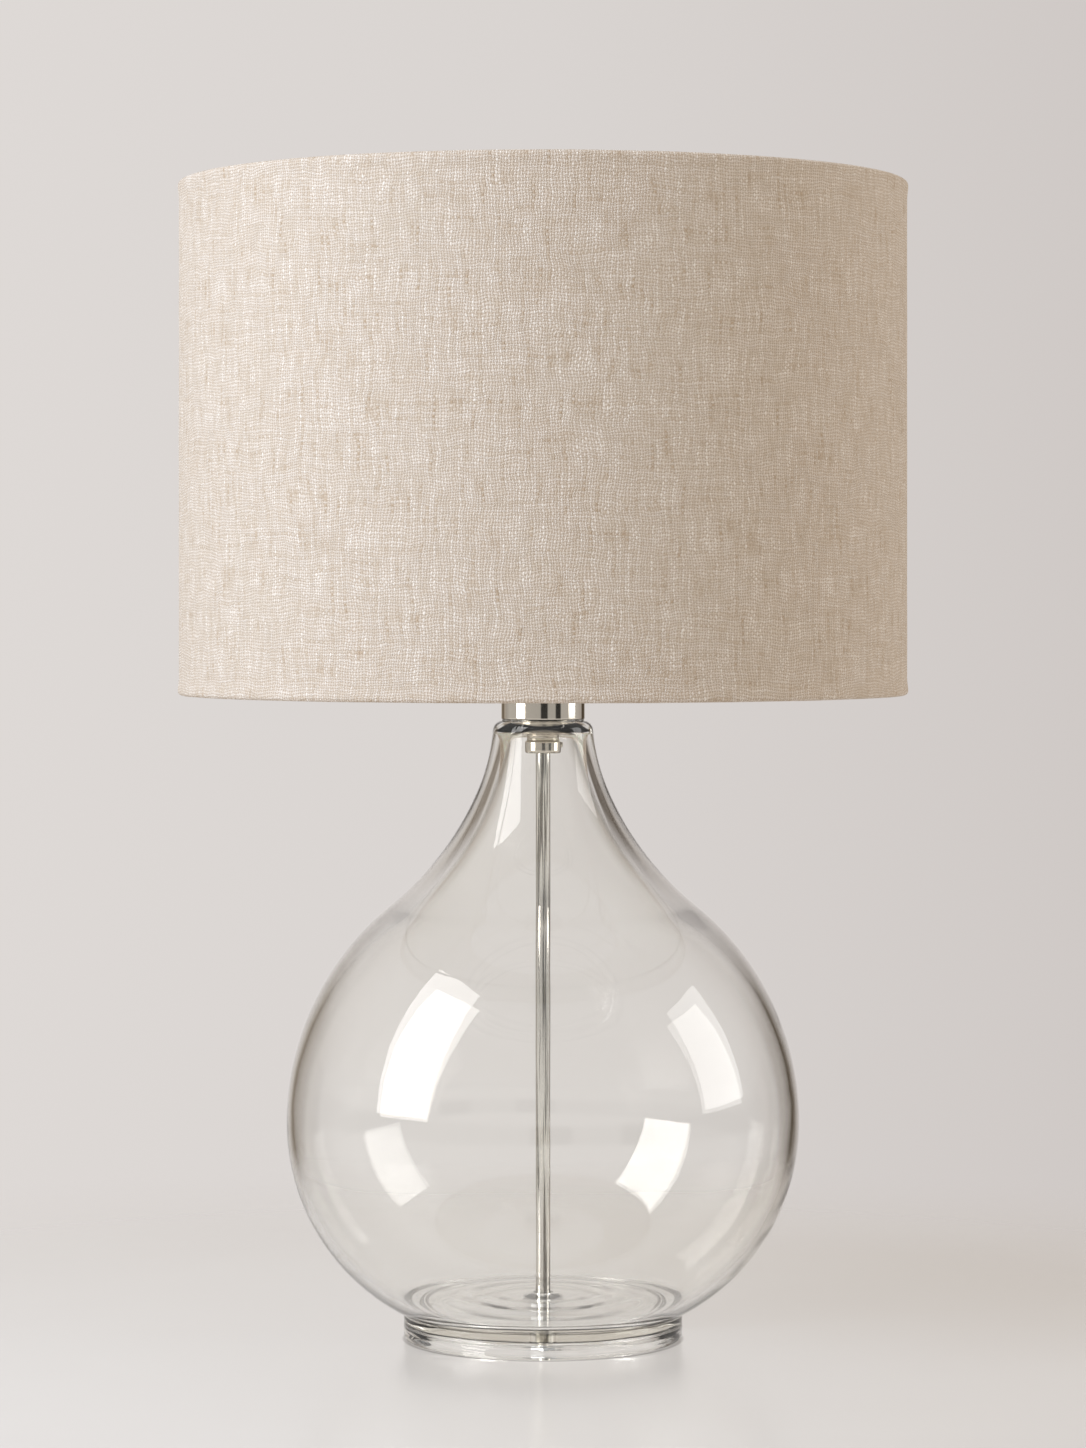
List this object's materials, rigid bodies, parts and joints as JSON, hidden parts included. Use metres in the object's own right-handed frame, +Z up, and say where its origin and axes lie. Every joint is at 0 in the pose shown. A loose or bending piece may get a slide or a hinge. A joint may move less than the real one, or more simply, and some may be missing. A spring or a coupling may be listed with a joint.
{
  "type": "table lamp",
  "caption": "Table lamp with a clear teardrop glass base, a polished nickel stem and collar, and a linen drum shade clamped by a ring nut over a screw-in bulb.",
  "frame": {"origin": "on the table, under the middle of the foot ring", "axes": "+Z up along the stem; -Y is the front that the picture shows; the cord notch is at the back, +Y"},
  "size_m": [0.3999, 0.4, 0.6334],
  "materials": {
    "clear_glass": "clear, fire polished",
    "clear_silicone": "clear, matt",
    "zinc_plated_steel": "zinc plated",
    "polished_nickel": "mirror polished",
    "satin_nickel": "turned, satin",
    "white_nylon": "moulded, matt",
    "white_holder_plastic": "moulded, satin",
    "white_ceramic": "unglazed",
    "brass": "drawn, bare",
    "white_coated_steel": "powder coated",
    "white_liner_sheet": "matt sheet",
    "oatmeal_linen": "plain weave with slubs",
    "black_bulb_glass": "fused black glass",
    "nickel_plated_brass": "rolled, nickel plated",
    "white_bulb_plastic": "moulded, satin",
    "opal_bulb_plastic": "opal, satin"
  },
  "bodies": {
    "lamp_base": {"glass_base": "clear_glass", "glass_neck": "clear_glass", "glass_foot": "clear_glass", "floor_grommet": "clear_silicone", "base_washer": "zinc_plated_steel", "base_nut": "zinc_plated_steel", "stem_tube": "polished_nickel", "cord_bush": "white_nylon", "stem_socket": "polished_nickel", "socket_set_screw": "satin_nickel", "neck_plug": "satin_nickel", "neck_gasket": "clear_silicone", "holder_cup": "polished_nickel", "hollow_nipple": "zinc_plated_steel", "lock_nut": "zinc_plated_steel", "holder_base": "white_holder_plastic", "holder_insert": "white_ceramic", "terminal_screws": "brass", "centre_contact": "brass", "screw_shell": "brass", "holder_skirt": "white_holder_plastic"},
    "shade": {"carrier_ring": "white_coated_steel", "shade_spokes": "white_coated_steel", "shade_bottom_ring": "white_coated_steel", "shade_top_ring": "white_coated_steel", "shade_liner": "white_liner_sheet", "shade_linen": "oatmeal_linen"},
    "ring_nut": {"shade_ring_nut": "white_holder_plastic"},
    "bulb": {"bulb_contact": "brass", "bulb_insulator": "black_bulb_glass", "bulb_screw_cap": "nickel_plated_brass", "bulb_housing": "white_bulb_plastic", "bulb_globe": "opal_bulb_plastic"}
  },
  "joints": [
    {"name": "shade_turn", "type": "hinge", "parent": "lamp_base", "child": "shade", "pos_m": [0, 0, 0.3778], "axis": [0, 0, 1], "continuous": true},
    {"name": "ring_nut_turn", "type": "hinge", "parent": "lamp_base", "child": "ring_nut", "pos_m": [0, 0, 0.3793], "axis": [0, 0, 1], "range_deg": [0, 3024]},
    {"name": "bulb_turn", "type": "hinge", "parent": "lamp_base", "child": "bulb", "pos_m": [0, 0, 0.3741], "axis": [0, 0, 1], "range_deg": [0, 1764]}
  ]
}
